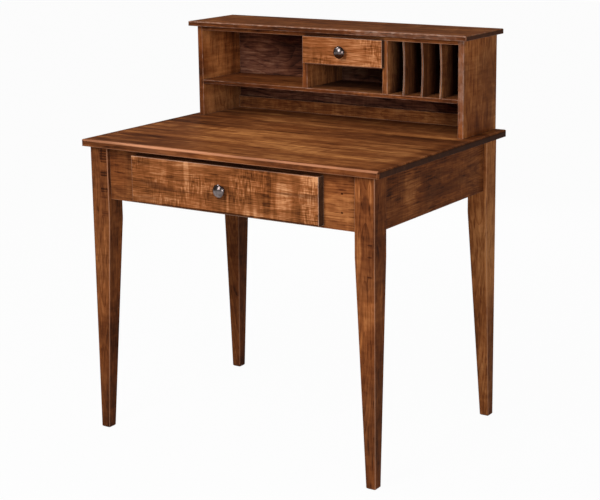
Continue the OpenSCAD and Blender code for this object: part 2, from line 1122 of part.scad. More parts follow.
module desk_drawer_bottom() {
    color(ply)
        in_desk_box()
            box_bottom(desk_box);
}

module desk_drawer_knob() {
    color(pewter)
        translate([0, desk_face_y, desk_knob_z])
            rotate([90, 0, 0])
                knob();
}

module desk_drawer_knob_screw() {
    color(steel)
        knob_screw_place(0, desk_box_y, desk_box, desk_knob_z)
            screw(drawer_board_t + drawer_front_t + knob_bite);
}

module desk_drawer_front_screws() {
    color(steel)
        in_desk_box()
            box_front_screws(desk_box, front_screw_inset, front_screw_rise)
                screw(drawer_board_t + front_bite);
}

// Hutch drawer, closed

module in_small_box() {
    translate([small_mid_x - box_w(small_box) / 2, small_box_y, small_box_z])
        children();
}

module hutch_drawer_front() {
    color(wood_light)
        difference() {
            translate([small_mid_x - small_face_w / 2, small_face_y, small_face_z0])
                eased_front([small_face_w, small_front_t, small_face_h], board_ease);
            small_front_screw_holes();
            small_knob_screw_hole();
        }
}

module small_front_screw_holes() {
    in_small_box()
        box_front_screws(small_box, small_screw_inset, 0)
            screw_hole(small_board_t + small_front_bite);
}

module small_knob_screw_hole() {
    knob_screw_place(small_mid_x, small_box_y, small_box, small_knob_z)
        screw_hole(small_board_t + small_front_t + knob_bite);
}

module hutch_drawer_box_front() {
    color(box_wood)
        difference() {
            in_small_box()
                box_front(small_box);
            small_front_screw_holes();
            small_knob_screw_hole();
        }
}

module hutch_drawer_side_left() {
    color(box_wood)
        in_small_box()
            box_side_left(small_box);
}

module hutch_drawer_side_right() {
    color(box_wood)
        in_small_box()
            box_side_right(small_box);
}

module hutch_drawer_back() {
    color(box_wood)
        in_small_box()
            box_back(small_box);
}

module hutch_drawer_bottom() {
    color(ply)
        in_small_box()
            box_bottom(small_box);
}

module hutch_drawer_knob() {
    color(pewter)
        translate([small_mid_x, small_face_y, small_knob_z])
            rotate([90, 0, 0])
                knob();
}

module hutch_drawer_knob_screw() {
    color(steel)
        knob_screw_place(small_mid_x, small_box_y, small_box, small_knob_z)
            screw(small_board_t + small_front_t + knob_bite);
}

module hutch_drawer_front_screws() {
    color(steel)
        in_small_box()
            box_front_screws(small_box, small_screw_inset, 0)
                screw(small_board_t + small_front_bite);
}

desk_top();
leg_front_left();
leg_front_right();
leg_back_left();
leg_back_right();
front_apron();
side_apron_left();
side_apron_right();
back_apron();
drawer_runner_left();
drawer_runner_right();
drawer_kicker_left();
drawer_kicker_right();
top_buttons();
button_screws();
hutch_dowels();
hutch_side_left();
hutch_side_right();
hutch_top();
hutch_subtop();
hutch_shelf();
hutch_upright_left();
hutch_upright_right();
hutch_drawer_shelf();
letter_divider_1();
letter_divider_2();
letter_divider_3();
hutch_back_panel();
hutch_back_rail();
desk_drawer_front();
desk_drawer_box_front();
desk_drawer_side_left();
desk_drawer_side_right();
desk_drawer_back();
desk_drawer_bottom();
desk_drawer_knob();
desk_drawer_knob_screw();
desk_drawer_front_screws();
hutch_drawer_front();
hutch_drawer_box_front();
hutch_drawer_side_left();
hutch_drawer_side_right();
hutch_drawer_back();
hutch_drawer_bottom();
hutch_drawer_knob();
hutch_drawer_knob_screw();
hutch_drawer_front_screws();
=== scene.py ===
"""Looks of the shaker writing desk: its stained maple, its knobs and screws, and the studio."""

import logging
import math
from dataclasses import dataclass, replace
from enum import Enum
from functools import cache
from typing import Union

import bmesh
import bpy
from bmesh.types import BMesh, BMVert
from bpy.types import Material, NodeSocket, Object, World
from mathutils import Matrix, Vector


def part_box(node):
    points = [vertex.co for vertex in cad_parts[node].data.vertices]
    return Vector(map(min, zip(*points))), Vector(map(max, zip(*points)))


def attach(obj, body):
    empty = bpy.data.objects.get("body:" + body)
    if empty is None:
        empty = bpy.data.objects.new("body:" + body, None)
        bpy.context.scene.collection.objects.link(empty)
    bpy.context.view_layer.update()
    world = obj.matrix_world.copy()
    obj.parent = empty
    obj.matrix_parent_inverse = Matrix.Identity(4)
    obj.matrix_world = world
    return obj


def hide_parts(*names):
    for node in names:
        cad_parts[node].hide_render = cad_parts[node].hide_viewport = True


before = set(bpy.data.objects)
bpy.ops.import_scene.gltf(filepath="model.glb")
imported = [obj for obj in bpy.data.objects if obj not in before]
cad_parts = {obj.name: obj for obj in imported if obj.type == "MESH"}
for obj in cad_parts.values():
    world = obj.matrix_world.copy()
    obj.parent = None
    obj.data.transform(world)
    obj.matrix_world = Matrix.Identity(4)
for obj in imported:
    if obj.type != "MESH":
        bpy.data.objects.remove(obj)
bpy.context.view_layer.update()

LOG = logging.getLogger("desk")
DESK = "desk"
DESK_DRAWER = "desk_drawer"
HUTCH_DRAWER = "hutch_drawer"

Colour = tuple[float, float, float, float]
Value = Union["Sock", float]

WHITE = (1.0, 1.0, 1.0, 1.0)
PAPER = (0.5, 0.5, 0.5, 1.0)
# In metres: how close points are merged, and how close to a plane a point counts as on it.
MERGE = 1e-6
FLAT = 1e-7
# The angle in degrees above which an edge stays crisp.
SHARP_EDGE = 35.0


def linear(code: str) -> Colour:
    """Turns a screen colour of six hexadecimal digits into the linear colour that a shader takes."""
    parts = [int(code[i:i + 2], 16) / 255 for i in (0, 2, 4)]
    return (*(p / 12.92 if p <= 0.04045 else ((p + 0.055) / 1.055) ** 2.4 for p in parts), 1.0)


class Sock:
    """A shader socket that takes part in Python arithmetic."""

    def __init__(self, graph: "Graph", socket: NodeSocket) -> None:
        """Keeps the socket and the graph that its node is in."""
        self.graph = graph
        self.socket = socket

    def out(self, name: str) -> "Sock":
        """Gives another output of the same node."""
        return Sock(self.graph, self.socket.node.outputs[name])

    def maths(self, operation: str, *values: Value, clamp: bool = False) -> "Sock":
        """Adds a Math node that starts from this socket. Its result can be held from 0 to 1."""
        inputs = dict(enumerate((self, *values)))
        return self.graph.node("Math", inputs, operation=operation, use_clamp=clamp)

    def __add__(self, other: Value) -> "Sock":
        """Adds a socket or a number."""
        return self.maths("ADD", other)

    __radd__ = __add__

    def __mul__(self, other: Value) -> "Sock":
        """Multiplies by a socket or a number."""
        return self.maths("MULTIPLY", other)

    __rmul__ = __mul__

    def __sub__(self, other: Value) -> "Sock":
        """Subtracts a socket or a number."""
        return self.maths("SUBTRACT", other)

    def __rsub__(self, other: float) -> "Sock":
        """Subtracts this socket from a number."""
        return self.graph.node("Math", {0: other, 1: self}, operation="SUBTRACT")

    def __gt__(self, other: Value) -> "Sock":
        """Gives 1 where this socket is the greater, and 0 elsewhere."""
        return self.maths("GREATER_THAN", other)

    def __pow__(self, exponent: float) -> "Sock":
        """Raises this socket to a power."""
        return self.maths("POWER", exponent)

    def __abs__(self) -> "Sock":
        """Drops the sign."""
        return self.maths("ABSOLUTE")

    def step(self, low: float, high: float) -> "Sock":
        """Rises smoothly from 0 at low to 1 at high, which may be the lower of the two."""
        ends = (low, high, 0.0, 1.0) if low < high else (high, low, 1.0, 0.0)
        return self.graph.node("MapRange", dict(enumerate((self, *ends))), interpolation_type="SMOOTHSTEP")


class Graph:
    """The node tree of a material or of the world."""

    def __init__(self, owner: "Material | World", end: str = "OutputMaterial") -> None:
        """Starts a tree with only its output node."""
        owner.use_nodes = True
        self.owner = owner
        self.tree = owner.node_tree
        self.tree.nodes.clear()
        self.end = self.tree.nodes.new(f"ShaderNode{end}")

    def node(
        self,
        kind: str,
        inputs: dict[int | str, Value | tuple[float, ...]] | None = None,
        output: int = 0,
        **settings: object,
    ) -> Sock:
        """Adds any node.

        Args:
            kind: The node's Blender type, less its first word.
            inputs: The value or the link of each socket that isn't left alone.
            output: The output that is wanted.
            settings: Its properties, and a ramp's stops under "stops".

        Returns:
            That output.
        """
        node = self.tree.nodes.new(f"ShaderNode{kind}")
        for key, value in settings.items():
            if key == "stops":
                elements = node.color_ramp.elements
                while len(elements) < len(value):
                    elements.new(0.5)
                for element, stop in zip(elements, value):
                    element.position, element.color = stop
            else:
                setattr(node, key, value)
        for key, value in (inputs or {}).items():
            if isinstance(value, Sock):
                self.tree.links.new(value.socket, node.inputs[key])
            else:
                node.inputs[key].default_value = value
        return Sock(self, node.outputs[output])

    def vector(self, x: Value, y: Value, z: Value) -> Sock:
        """Joins three numbers into a vector."""
        return self.node("CombineXYZ", {0: x, 1: y, 2: z})

    def mix(self, factor: Value, a: Sock | Colour, b: Sock | Colour, blend: str = "MIX") -> Sock:
        """Mixes two colours. The factor says how much of the second one shows."""
        inputs = {0: factor, 6: a, 7: b}
        return self.node("Mix", inputs, output=2, data_type="RGBA", blend_type=blend)

    def close(self, shader: Sock) -> "Material | World":
        """Ends the tree in a shader and gives what the tree belongs to."""
        self.tree.links.new(shader.socket, self.end.inputs["Surface"])
        return self.owner

    def surface(self, **sockets: Value | tuple[float, ...]) -> Material:
        """Ends the tree in a Principled shader. Its sockets' names have underscores for spaces."""
        inputs = {key.replace("_", " "): value for key, value in sockets.items()}
        return self.close(self.node("BsdfPrincipled", inputs))


class Cut(Enum):
    """How a board lies: the axes of its width, its thickness and its grain."""

    FLAT = ("Y", "Z", "X")
    RAIL = ("Z", "Y", "X")
    SIDE_RAIL = ("Z", "X", "Y")
    PANEL = ("Y", "X", "Z")
    POST = ("X", "Y", "Z")
    FLAT_DEEP = ("X", "Z", "Y")


@dataclass(frozen=True)
class Wood:
    """A wood under its finish: its colours, and how strongly each mark of the grain shows.

    Attributes:
        deep, dark, body, light: The ramp's colours, darkest first.
        streak, rubbed_and_highlit, end: The colours of its veins, of its worn arrises with their painted
            highlight, and of its end grain.
        coarse, drawn: How much wider and longer than usual its figure is.
        ring, ring_gap, ring_warp: The strength, spacing and waver of its year rings.
        cloud, band, fibre, curl, hatch, streaks, dash, mottle, patch, blush: The strength of each figure.
        end_grain, edge_dark: How far the end's colour covers sawn ends, and how much darker edges are.
        spots, end_shy: How broken up the wear and painted highlight of its arrises are, and how little the
            arrises at its ends get them.
        hollow_shade, worn: How much painted shade darkens its hollows and inside corners, and how far its
            arrises are rubbed and painted with a highlight.
        roughness, coat: What the Principled shader takes.
    """

    deep: str
    dark: str
    body: str
    light: str
    streak: str
    coarse: float = 1.0
    drawn: float = 1.0
    # Partly worn wood and partly a painted highlight on the arrises.
    rubbed_and_highlit: str = "b98c70"
    end: str = "472c20"
    ring: float = 0.14
    ring_gap: float = 0.0034
    ring_warp: float = 0.05
    cloud: float = 0.60
    band: float = 0.50
    fibre: float = 0.75
    curl: float = 1.2
    hatch: float = 0.55
    streaks: float = 0.6
    end_grain: float = 0.85
    edge_dark: float = 0.1
    spots: float = 0.0
    end_shy: float = 0.65
    # Painted shade in the hollows and inside corners.
    hollow_shade: float = 0.9
    dash: float = 0.2
    mottle: float = 0.35
    blush: float = 0.6
    patch: float = 0.3
    # How far the arrises are rubbed and painted with a highlight.
    worn: float = 0.75
    roughness: float = 0.5
    coat: float = 0.03

    def ramp(self) -> list[tuple[float, Colour]]:
        """Gives the stops from the darkest to the lightest colour."""
        colours = (self.deep, self.dark, self.body, self.light)
        return [(place, linear(code)) for place, code in zip(RAMP_PLACES, colours)]


RAMP_PLACES = (0.08, 0.34, 0.56, 0.86)
# The colour of the shade painted into hollows and inside corners.
HOLLOW_SHADE_PAINT = "211817"
WARM_TINT = (1.0, 0.88, 0.76, 1.0)

# The pale rubbed colours of the arrises below are partly worn wood and partly painted highlights and
# reflections; the amounts of dark in the hollows are painted shade.
RED_MAPLE = Wood(deep="381d10", dark="693a1f", body="8d542e", light="c78550", streak="452413")
TOP_MAPLE = replace(
    RED_MAPLE, light="cc8a50", end="38231a", coarse=1.7, drawn=1.8, rubbed_and_highlit="c98a66", worn=0.7, end_shy=1.0,
    band=0.7, mottle=0.5, fibre=0.5, streaks=0.7, dash=0.22, hollow_shade=0.5, blush=0.4,
)
SPOTTED_MAPLE = replace(RED_MAPLE, rubbed_and_highlit="a98674", spots=0.6, edge_dark=0.22)
PANEL_MAPLE = replace(
    SPOTTED_MAPLE, coarse=1.6, cloud=1.0, band=0.3, mottle=0.4, fibre=0.3, streaks=0.3, blush=1.0,
)
CALM_MAPLE = replace(RED_MAPLE, coarse=1.3, fibre=0.4, band=0.35, streaks=0.35, mottle=0.4, worn=0.5)
SLOT_MAPLE = replace(RED_MAPLE, rubbed_and_highlit="a3968b", worn=0.9, hollow_shade=0.8)
WARM_MAPLE = replace(
    RED_MAPLE, deep="452512", dark="764422", body="9a5d35", light="d4986a", streak="4f2c19", end="38291f",
    rubbed_and_highlit="c4a08a", curl=0.8, hatch=1.2, cloud=0.65, edge_dark=0.3, end_shy=0.0, worn=0.55, hollow_shade=0.5,
    blush=0.5,
)
BACK_MAPLE = replace(
    RED_MAPLE, deep="2c1a18", dark="59362a", body="835440", light="b5866a", streak="38221c", hollow_shade=0.8,
    coarse=1.5, ring=0.2, ring_gap=0.010, ring_warp=0.2, cloud=0.55, curl=0.4, hatch=0.2, streaks=0.3,
    worn=0.0, roughness=0.55,
)
BARE_MAPLE = Wood(
    deep="8f6a42", dark="b08757", body="c9a271", light="e0c194", streak="94704a",
    ring=0.16, cloud=0.4, band=0.3, fibre=0.4, curl=0.4, hatch=0.1, streaks=0.25, end="a67f52", edge_dark=0.0,
    worn=0.0, hollow_shade=0.0, patch=0.1, dash=0.05, mottle=0.1, blush=0.0, coat=0.0, roughness=0.6,
)


@dataclass(frozen=True)
class Figure:
    """A noise whose marks run along the grain.

    Attributes:
        across, along: Its scale across and along the grain, to the metre.
        salt: A shift that sets it apart from the other noises.
        detail: How many finer noises lie over it.
        swirl: How far it is bent.
    """

    across: float
    along: float
    salt: float
    detail: float = 2.0
    swirl: float = 0.0


PITH_BEND = Figure(5.0, 2.2, 1.0)
PITH_SWAY = Figure(4.0, 1.7, 5.0)
RING_WAVER = Figure(60.0, 6.0, 2.0)
DASH = Figure(260.0, 20.0, 17.0)
CLOUD = Figure(15.0, 4.5, 4.0, detail=3.0, swirl=0.5)
BAND = Figure(75.0, 5.5, 12.0, detail=3.0, swirl=0.4)
MOTTLE = Figure(70.0, 32.0, 18.0, detail=4.0, swirl=0.8)
FIBRE = Figure(430.0, 20.0, 3.0, detail=3.0)
HAIR = Figure(1300.0, 60.0, 9.0)
CURL = Figure(13.0, 78.0, 6.0, detail=2.5, swirl=0.35)
CURL_PATCH = Figure(6.0, 3.0, 7.0, detail=1.0)
HATCH = Figure(45.0, 210.0, 13.0, swirl=0.2)
HATCH_PATCH = Figure(9.0, 7.0, 14.0, detail=1.0)
VEIN = Figure(38.0, 2.6, 8.0, detail=3.0, swirl=0.5)
PATCH = Figure(5.5, 3.2, 16.0, detail=1.5, swirl=0.6)
WARMTH = Figure(11.0, 6.0, 19.0, swirl=0.6)
PORES = Figure(900.0, 900.0, 11.0)
RUB_AND_HIGHLIGHT_SPOT = Figure(120.0, 60.0, 15.0, detail=3.0)

# How far apart the strips of one board, and the boards, lie in the noises' log.
STRIP_SHIFT = (7.31, 3.17)
SEED_SHIFT = (3.7, 1.9, 0.77)
STRIP_PITH = 0.041
TINT_SHIFT = 0.61

# Where each smooth step of the finish, of its painted shade and of its painted highlights starts and ends.
GLUE_LINE = (0.0006, 0.0002)
SQUARE_ON = (0.72, 0.98)
DASHED = (0.08, 0.2)
CURLED = (-0.06, 0.14)
HATCHED = (-0.05, 0.1)
VEINED = (0.08, 0.2)
WARMED = (-0.12, 0.12)
PORED = (-0.02, 0.16)
MARK_FADE = (1.15, 0.35)
RUNG = (-0.5, 0.5)
HOLLOW = (0.5, 0.95)
CRACK = (0.22, 0.6)
ROUNDED = (0.995, 0.88)
TILTED = (0.985, 0.93)
END_ARRIS = (0.12, 0.5)
RUB_AND_HIGHLIGHT_SPOTTED = (-0.06, 0.14)

# How strongly the lesser parts of the finish, its painted shade and its painted highlights show.
MIDTONE = 0.5
LATE_MEAN = 0.25
WAVER = 0.8
HAIR_SHARE = 0.4
MARK_RAGGED = (0.25, 0.3)
RUNG_RAGGED = (2.0, 3.0)
RUNG_DEPTH = 0.65
STRIP_TINT = 0.12
GLUE_DARK = 0.55
PORE_DARK = 0.2
CRACK_SHADE = 0.75
MOST_RUB_AND_HIGHLIGHT = 0.95
RUB_AND_HIGHLIGHT_VARIES = (0.85, 1.6, 1.2)
RUB_AND_HIGHLIGHT_BROKEN = 1.5

# In metres: how far the painted shade looks for a hollow and for a crack, how wide an arris is worn and
# painted with a highlight, how far one is eased.
HOLLOW_REACH = 0.12
CRACK_REACH = 0.005
ARRIS_WIDTH = 0.0032
EASED_WIDTH = 0.0007


@dataclass(frozen=True)
class Mark:
    """A mark in one place of a board, which fades out from its middle.

    Attributes:
        across, along: Its middle, across and along the grain.
        half_across, half_along: How far it reaches each way.
        lift: How much lighter than the rest it is.
        rungs: How closely short lines across the grain break it up, or 0.
        rub_and_highlight: How far the finish is rubbed and painted with a highlight there.
    """

    across: float
    along: float
    half_across: float
    half_along: float
    lift: float = 0.0
    rungs: float = 0.0
    rub_and_highlight: float = 0.0


class Timber:
    """The shader of one board, from the grain of its log to the wear of its finish, with shade painted into
    its hollows and highlights painted on its arrises.
    """

    def __init__(self, board: "Board", middle: dict[str, float]) -> None:
        """Finds the board's own axes, its strips and the figure that later layers use again.

        Args:
            board: The board.
            middle: The middle of its box on each axis.
        """
        self.board = board
        self.wood = board.wood
        self.g = Graph(bpy.data.materials.new(f"wood_{board.nodes[0]}"))
        place = self.g.node("TexCoord").out("Object")
        axes = self.g.node("SeparateXYZ", {0: place})
        self.width, self.thick, self.along = (axes.out(axis) for axis in board.cut.value)
        self.width_mid, self.thick_mid, _ = (middle[axis] for axis in board.cut.value)
        normal = self.g.node("TexCoord").out("Normal")
        self.facing = self.g.node("SeparateXYZ", {0: normal})
        self.strip: Value = 0.0
        self.glue: Value = 0.0
        for seam in board.seams:
            self.strip = (self.width > seam) + self.strip
            self.glue = abs(self.width - seam).step(*GLUE_LINE) + self.glue
        self.late = self.late_wood()
        self.cloud, self.band = self.noise(CLOUD), self.noise(BAND)
        self.fibre, self.hair = self.noise(FIBRE), self.noise(HAIR)
        self.curl = self.noise(CURL)

    def noise(self, figure: Figure) -> Sock:
        """Gives a noise around 0 that differs from board to board and from strip to strip."""
        across, along = figure.across / self.wood.coarse, figure.along / self.wood.drawn
        strip, seed = self.strip, self.board.seed
        spot = self.g.vector(
            self.width * across + strip * STRIP_SHIFT[0] + seed * SEED_SHIFT[0] + figure.salt,
            self.thick * across + seed * SEED_SHIFT[1],
            self.along * along + strip * STRIP_SHIFT[1] + seed * SEED_SHIFT[2],
        )
        inputs = {"Vector": spot, "Scale": 1.0, "Detail": figure.detail, "Distortion": figure.swirl}
        return self.g.node("TexNoise", inputs) - 0.5

    def late_wood(self) -> Sock:
        """Gives the dark late wood of each year ring, less its mean."""
        warp = self.wood.ring_warp
        bend, sway = self.noise(PITH_BEND), self.noise(PITH_SWAY)
        section = self.g.vector(
            self.width - self.width_mid + self.strip * STRIP_PITH + sway * warp,
            self.thick - self.thick_mid + self.board.pith + bend * warp,
            0.0,
        )
        from_pith = self.g.node("VectorMath", {0: section}, output=1, operation="LENGTH")
        year = (from_pith * (1 / self.wood.ring_gap) + self.noise(RING_WAVER) * WAVER).maths("FRACT")
        return (year ** 3.0) - LATE_MEAN

    def faces(self, side: int) -> Sock:
        """Gives 1 where the surface faces along the board's width (0), thickness (1) or grain (2)."""
        return abs(self.facing.out(self.board.cut.value[side])).step(*SQUARE_ON)

    def grain(self) -> Sock:
        """Adds up the board's own figure.

        Returns:
            A place on the wood's colour ramp.
        """
        wood, board = self.wood, self.board
        curled = self.noise(CURL_PATCH).step(*CURLED)
        hatched = self.noise(HATCH_PATCH).step(*HATCHED)
        value = MIDTONE + board.tone + self.noise(PATCH) * wood.patch + self.noise(MOTTLE) * wood.mottle
        value = value + self.cloud * wood.cloud + self.band * wood.band
        value = value + self.curl * curled * (wood.curl * board.curl)
        value = value + self.noise(HATCH) * hatched * (wood.hatch * board.curl)
        value = value + self.fibre * wood.fibre + self.hair * (HAIR_SHARE * wood.fibre)
        value = value - self.late * wood.ring - self.noise(DASH).step(*DASHED) * wood.dash
        return value - self.faces(0) * wood.edge_dark

    def near(self, mark: Mark) -> Sock:
        """Gives 1 at the middle of a mark and 0 beyond its ragged edge.

        Args:
            mark: The mark.

        Returns:
            How strong the mark is at each point.
        """
        power = 6.0 if mark.rungs else 2.0
        wide, long = mark.half_across, mark.half_along
        bumps = self.curl + self.cloud
        off_across = abs(self.width - mark.across + self.band * MARK_RAGGED[0] * wide) * (1 / wide)
        off_along = abs(self.along - mark.along + bumps * MARK_RAGGED[1] * long) * (1 / long)
        near = (off_across ** power + off_along ** power).step(*MARK_FADE)
        if mark.rungs:
            wave = self.along * mark.rungs + self.fibre * RUNG_RAGGED[0] + self.curl * RUNG_RAGGED[1]
            near = near * (1 - RUNG_DEPTH + RUNG_DEPTH * wave.maths("SINE").step(*RUNG))
        return near

    def stained(self, value: Sock) -> Sock:
        """Stains the figure, with its veins, warm patches, glue lines and sawn ends.

        Args:
            value: The place on the colour ramp.

        Returns:
            The colour.
        """
        g, wood = self.g, self.wood
        colour = g.node("ValToRGB", {0: value}, stops=wood.ramp())
        colour = g.mix(self.noise(VEIN).step(*VEINED) * wood.streaks, colour, linear(wood.streak))
        colour = g.mix(self.noise(WARMTH).step(*WARMED) * wood.blush, colour, WARM_TINT, blend="MULTIPLY")
        if self.board.seams:
            colour = g.mix(self.glue * GLUE_DARK, colour, linear(wood.deep))
        pores = self.noise(PORES).step(*PORED)
        return g.mix(self.faces(2) * (wood.end_grain + pores * PORE_DARK), colour, linear(wood.end))

    def covered(self, reach: float, samples: int) -> Sock:
        """Gives how much of the space round a point other wood takes up."""
        return 1.0 - self.g.node("AmbientOcclusion", {"Distance": reach}, output=1, samples=samples)

    def shade_painted_in_hollows(self, colour: Sock) -> Sock:
        """Paints shade into the hollows and the inside corners, darkest where other wood closes round a
        point.
        """
        hollow = self.covered(HOLLOW_REACH, 6).step(*HOLLOW) * self.wood.hollow_shade
        crack = self.covered(CRACK_REACH, 4).step(*CRACK) * CRACK_SHADE
        return self.g.mix(hollow.maths("MAXIMUM", crack), colour, linear(HOLLOW_SHADE_PAINT))

    def worn(self, colour: Sock, rubs_and_highlights: Value) -> Sock:
        """Rubs the finish thin along the arrises and paints a highlight on them.

        Args:
            colour: The colour before the wear.
            rubs_and_highlights: Where the board's marks rub it and paint a highlight as well.

        Returns:
            The worn colour with its painted highlight.
        """
        g, wood = self.g, self.wood
        rounded = g.node("Bevel", {"Radius": ARRIS_WIDTH}, samples=6)
        flat = g.node("NewGeometry").out("True Normal")
        corner = g.node("VectorMath", {0: rounded, 1: flat}, output=1, operation="DOT_PRODUCT")
        squarest = abs(self.facing.out("X"))
        for axis in "YZ":
            squarest = squarest.maths("MAXIMUM", abs(self.facing.out(axis)))
        arris = corner.step(*ROUNDED).maths("MAXIMUM", squarest.step(*TILTED))
        own = g.node("VectorTransform", {0: rounded}, vector_type="NORMAL", convert_to="OBJECT")
        leaning = g.node("SeparateXYZ", {0: own})
        at_end = abs(leaning.out(self.board.cut.value[2])).step(*END_ARRIS)
        arris = arris * (1.0 - at_end * wood.end_shy) + rubs_and_highlights
        least, by_cloud, by_band = RUB_AND_HIGHLIGHT_VARIES
        patchiness = least + self.cloud * by_cloud + self.band * by_band
        if wood.spots:
            spot = self.noise(RUB_AND_HIGHLIGHT_SPOT).step(*RUB_AND_HIGHLIGHT_SPOTTED)
            patchiness = patchiness * (1.0 - wood.spots + spot * (RUB_AND_HIGHLIGHT_BROKEN * wood.spots))
        # The pale rubbed colour on the arrises and rounded edges is partly wear and partly a painted
        # highlight.
        wear_and_highlight = (arris * patchiness * wood.worn).maths("MINIMUM", MOST_RUB_AND_HIGHLIGHT, clamp=True)
        return g.mix(wear_and_highlight, colour, linear(wood.rubbed_and_highlit))

    def material(self) -> Material:
        """Builds every layer of the wood.

        Returns:
            The board's material.
        """
        g, wood, board = self.g, self.wood, self.board
        value = self.grain()
        rubs_and_highlights: Value = 0.0
        for mark in board.marks:
            near = self.near(mark)
            value = value + near * mark.lift
            rubs_and_highlights = near * mark.rub_and_highlight + rubs_and_highlights
        if board.seams:
            tint = self.strip + board.seed * TINT_SHIFT
            tint = g.node("TexWhiteNoise", {"W": tint}, noise_dimensions="1D")
            value = value + (tint - 0.5) * STRIP_TINT
        colour = self.stained(value)
        # Shade is painted into the hollows, then wear and a painted highlight onto the arrises.
        if wood.hollow_shade:
            colour = self.shade_painted_in_hollows(colour)
        if wood.worn:
            colour = self.worn(colour, rubs_and_highlights)
        height = self.fibre * 0.6 + self.hair * 0.3 + self.curl * 0.5 - self.late * 0.2
        eased = g.node("Bevel", {"Radius": EASED_WIDTH}, samples=4)
        relief = {"Strength": 0.35, "Distance": 0.0004, "Height": height, "Normal": eased}
        return g.surface(
            Base_Color=colour,
            Roughness=wood.roughness + self.fibre * 0.22 - self.curl * 0.08,
            Normal=g.node("Bump", relief),
            Specular_IOR_Level=0.01,
            Coat_Weight=wood.coat,
            Coat_Roughness=0.2,
        )


@dataclass(frozen=True)
class Board:
    """One CAD board, or several of one cut, and the piece of wood that it is sawn from.

    Attributes:
        nodes: The CAD nodes that the wood dresses.
        cut: How they lie.
        wood, seed: Their wood, and the place in the log that they are sawn from.
        tone: How much lighter than the wood they are.
        curl: How strongly curl and hatching show.
        pith: How far the log's pith lies from their middle.
        seams: Where strips are glued together, on the axis of the width.
        marks: The marks of their own.
    """

    nodes: tuple[str, ...]
    cut: Cut
    wood: Wood
    seed: int
    tone: float = 0.0
    curl: float = 1.0
    pith: float = 0.06
    seams: tuple[float, ...] = ()
    marks: tuple[Mark, ...] = ()

    def dress(self) -> None:
        """Gives the board's nodes their wood."""
        lo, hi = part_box(self.nodes[0])
        middle = {axis: (lo[i] + hi[i]) / 2 for i, axis in enumerate("XYZ")}
        material = Timber(self, middle).material()
        for name in self.nodes:
            put_on(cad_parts[name], material)
            LOG.info("%s: %s", name, material.name)


def put_on(piece: Object, material: Material) -> None:
    """Makes a material the only one of a piece.

    Args:
        piece: The piece to dress.
        material: Its material.
    """
    if len(piece.material_slots) == 0:
        piece.data.materials.append(material)
    for slot in piece.material_slots:
        slot.material = material


@dataclass(frozen=True)
class Metal:
    """A metal: its two colours and how far its skin has dulled.

    Attributes:
        name: The material's name.
        base, worn: Its usual colour and the colour of its worn patches.
        roughness, dulling: Its mean roughness, and how much that varies from patch to patch.
        grain, specks: How fine the patches are, and how much finer the specks are.
    """

    name: str
    base: str
    worn: str
    roughness: float
    dulling: float
    grain: float = 60.0
    specks: float = 14.0

    @cache
    def material(self) -> Material:
        """Makes the metal's material, or gives it again.

        Returns:
            The material.
        """
        g = Graph(bpy.data.materials.new(self.name))
        place, fine = g.node("TexCoord").out("Object"), self.grain * self.specks
        cloud = g.node("TexNoise", {"Vector": place, "Scale": self.grain, "Detail": 4.0})
        speck = g.node("TexNoise", {"Vector": place, "Scale": fine})
        colour = g.mix(cloud.step(0.35, 0.7), linear(self.base), linear(self.worn))
        rough = self.roughness + (cloud - 0.5) * self.dulling + (speck - 0.5) * 0.08
        bump = g.node("Bump", {"Strength": 0.15, "Distance": 0.0002, "Height": speck})
        return g.surface(Base_Color=colour, Metallic=1.0, Roughness=rough, Normal=bump)


# Turns a shape that stands on Z, so that its foot faces the back, or its face does.
TO_THE_FRONT = Matrix.Rotation(math.radians(90), 4, "X")
TO_THE_BACK = Matrix.Rotation(math.radians(-90), 4, "X")

PEWTER = Metal("knob_pewter", base="574c4a", worn="8b807e", roughness=0.27, dulling=0.2)
ZINC = Metal("screw_zinc", base="9b9890", worn="c2beb4", roughness=0.34, dulling=0.2, grain=300.0)


def finish_piece(bm: BMesh, name: str, body: str, metal: Metal, replaces: str = "") -> None:
    """Turns a bmesh into a piece of the desk.

    Args:
        bm: The shape, in place in the desk's frame.
        name: The piece's name.
        body: The CAD body that it rides on.
        metal: Its metal.
        replaces: The CAD node that it stands for, if any.
    """
    bmesh.ops.recalc_face_normals(bm, faces=bm.faces)
    mesh = bpy.data.meshes.new(name)
    bm.to_mesh(mesh)
    bm.free()
    mesh.shade_smooth()
    mesh.set_sharp_from_angle(angle=math.radians(SHARP_EDGE))
    piece = bpy.data.objects.new(name, mesh)
    bpy.context.scene.collection.objects.link(piece)
    put_on(piece, metal.material())
    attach(piece, body)
    if replaces:
        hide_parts(replaces)
    LOG.info("%s: %d faces, rides on %s", name, len(mesh.polygons), body)


def turned(profile: list[tuple[float, float]], segments: int) -> BMesh:
    """Spins a profile about Z.

    Args:
        profile: Radius and height of each point, from one pole to the other.
        segments: The steps of the full turn.

    Returns:
        The closed shape.
    """
    bm = bmesh.new()
    points = [bm.verts.new((radius, 0.0, height)) for radius, height in profile]
    edges = [bm.edges.new(pair) for pair in zip(points, points[1:])]
    bmesh.ops.spin(
        bm, geom=points + edges, cent=(0, 0, 0), axis=(0, 0, 1), dvec=(0, 0, 0), angle=2 * math.pi,
        steps=segments, use_merge=True, use_duplicate=False,
    )
    bmesh.ops.remove_doubles(bm, verts=bm.verts, dist=MERGE)
    return bm


def arc(x: float, y: float, radius: float, start: float, end: float, steps: int) -> list[tuple[float, float]]:
    """Gives the points of an arc about x and y, from one angle in degrees to another, in equal steps."""
    angles = [math.radians(start + (end - start) * i / steps) for i in range(steps + 1)]
    return [(x + radius * math.cos(a), y + radius * math.sin(a)) for a in angles]


